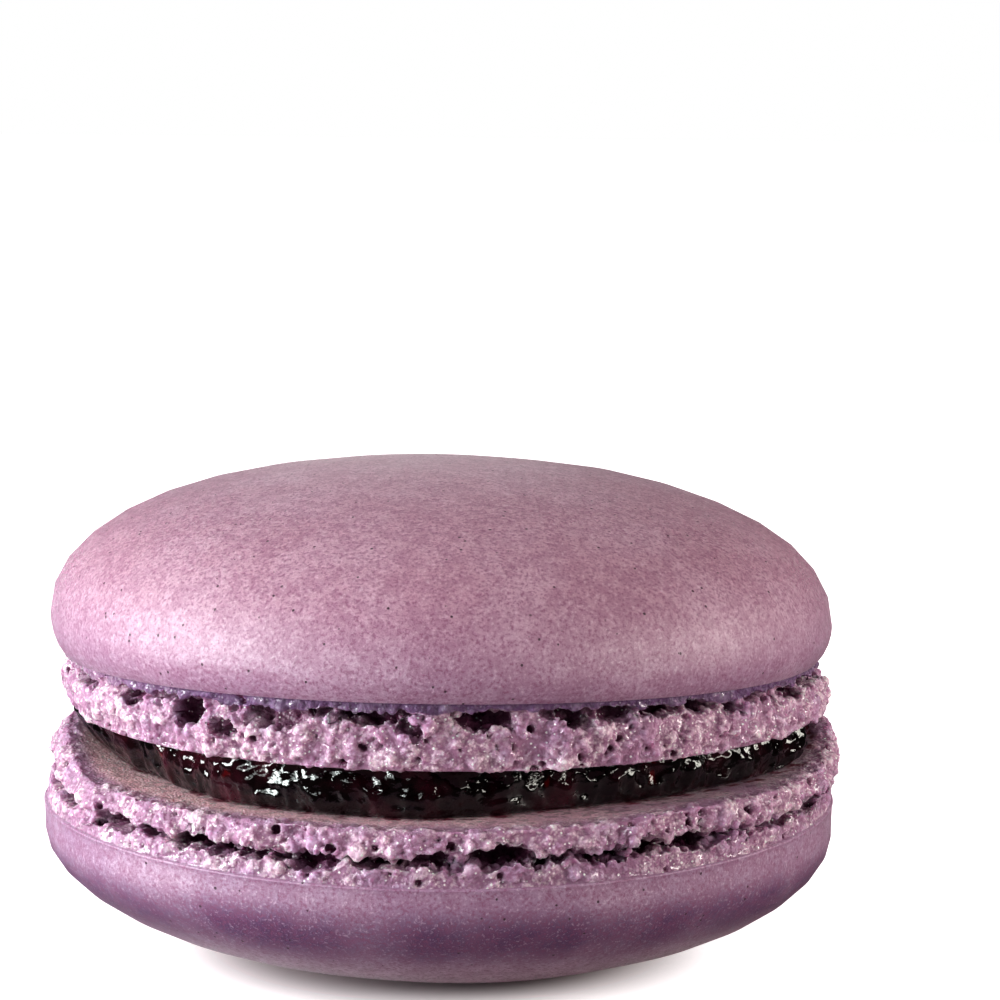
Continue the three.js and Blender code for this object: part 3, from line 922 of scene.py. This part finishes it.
# The world's strength as light from the front and from behind, and in wet mirrors
FILL_FRONT = 0.03
FILL_BACK = 0.78
FILL_MIRRORED = 0.01
FILL_FROM = (0, 0.7, 0.7)
FILL_SPAN = (-0.1, 0.9)

# The gamma of the picture, for the photograph's contrast
VIEW_GAMMA = 0.8


def camera():
    """The photograph's camera: its place and turn, and its lens from the picture's size"""
    data = bpy.data.cameras.new("camera")
    data.sensor_width = SENSOR
    data.lens = FOCAL_PIXELS / PICTURE * SENSOR
    data.clip_start, data.clip_end = CLIP[0] * MM, CLIP[1] * MM
    eye = bpy.data.objects.new("camera", data)
    bpy.context.collection.objects.link(eye)
    place = Matrix.Translation(Vector((0, -CAMERA_DISTANCE, CAMERA_HEIGHT)) * MM)
    turns = ((-YAW, "Z"), (math.pi / 2 - PITCH, "X"), (ROLL, "Z"))
    yaw, pitch, roll = (Matrix.Rotation(angle, 4, axis) for angle, axis in turns)
    eye.matrix_world = place @ yaw @ pitch @ roll
    bpy.context.scene.camera = eye


def soft_light(name, azimuth, elevation, size, power, tint):
    """A softbox in a direction from the macaron, turned towards it"""
    data = bpy.data.lights.new(name, "AREA")
    data.shape = "RECTANGLE"
    data.size, data.size_y = size[0] * MM, size[1] * MM
    data.energy = power
    data.color = tint
    lamp = bpy.data.objects.new(name, data)
    bpy.context.collection.objects.link(lamp)
    away = Vector((LIGHT_DISTANCE, 0, 0)) * MM
    away.rotate(Euler((0, -math.radians(elevation), math.radians(azimuth))))
    lamp.location = Vector((0, 0, LIT_HEIGHT)) * MM + away
    lamp.rotation_euler = (-away).to_track_quat("-Z", "Y").to_euler()


def floor():
    """A wide white sheet under the macaron. To the eye it glows, so that only the shadow where the macaron
    stands shows on it, and in wet surfaces it mirrors dimly."""
    reach = FLOOR_REACH * MM
    corners = [(-reach, -reach, 0), (reach, -reach, 0), (reach, reach, 0), (-reach, reach, 0)]
    mesh = bpy.data.meshes.new("floor")
    mesh.from_pydata(corners, [], [(0, 1, 2, 3)])
    sheet = bpy.data.objects.new("floor", mesh)
    bpy.context.collection.objects.link(sheet)
    recipe = Recipe("white_sheet")
    length = recipe.tree.nodes.new("ShaderNodeVectorMath")
    length.operation = "LENGTH"
    recipe.tree.links.new(recipe.place, length.inputs[0])
    path = recipe.tree.nodes.new("ShaderNodeLightPath")
    away = recipe.step(length.outputs["Value"], SHADOW_EDGE[0] * MM, SHADOW_EDGE[1] * MM)
    mesh.materials.append(recipe.finish(
        Base_Color=recipe.mix(path.outputs["Is Glossy Ray"], FLOOR_TINT, FLOOR_MIRRORED), Roughness=0.8,
        Specular_IOR_Level=0.0, Emission_Color=(1, 1, 1, 1),
        Emission_Strength=recipe.maths("MULTIPLY", away, path.outputs["Is Camera Ray"])))


def surroundings():
    """White to the eye. As light it is a fill from above and behind, and it is dark in wet mirrors."""
    world = bpy.data.worlds.new("studio")
    world.use_nodes = True
    tree = world.node_tree
    behind = tree.nodes.new("ShaderNodeVectorMath")
    behind.operation = "DOT_PRODUCT"
    behind.inputs[1].default_value = FILL_FROM
    tree.links.new(tree.nodes.new("ShaderNodeTexCoord").outputs["Generated"], behind.inputs[0])
    path = tree.nodes.new("ShaderNodeLightPath")
    strength = ranged(tree, behind.outputs["Value"], FILL_SPAN, FILL_FRONT, FILL_BACK)
    strength = ranged(tree, path.outputs["Is Glossy Ray"], (0, 1), strength, FILL_MIRRORED)
    strength = ranged(tree, path.outputs["Is Camera Ray"], (0, 1), strength, 1)
    background = tree.nodes["Background"]
    background.inputs["Color"].default_value = (1, 1, 1, 1)
    tree.links.new(strength, background.inputs["Strength"])
    bpy.context.scene.world = world


def studio():
    surroundings()
    floor()
    for name, light in LIGHTS.items():
        soft_light(name, *light)
    view = bpy.context.scene.view_settings
    view.view_transform = "Standard"
    view.gamma = VIEW_GAMMA


for shell, listed in ((LOWER_SHELL, LOWER_HOLLOWS), (UPPER_SHELL, UPPER_HOLLOWS)):
    shell["hollows"] = all_hollows(shell, listed)
    shell["ruffles"] = all_ruffles(shell)

camera()
studio()
skin, crumb = skin_material(), crumb_material()
dress_shell("lower_shell", "bottom_shell", LOWER_SHELL, skin, crumb)
dress_shell("upper_shell", "top_shell", UPPER_SHELL, skin, crumb)
dress_jam(jam_material())
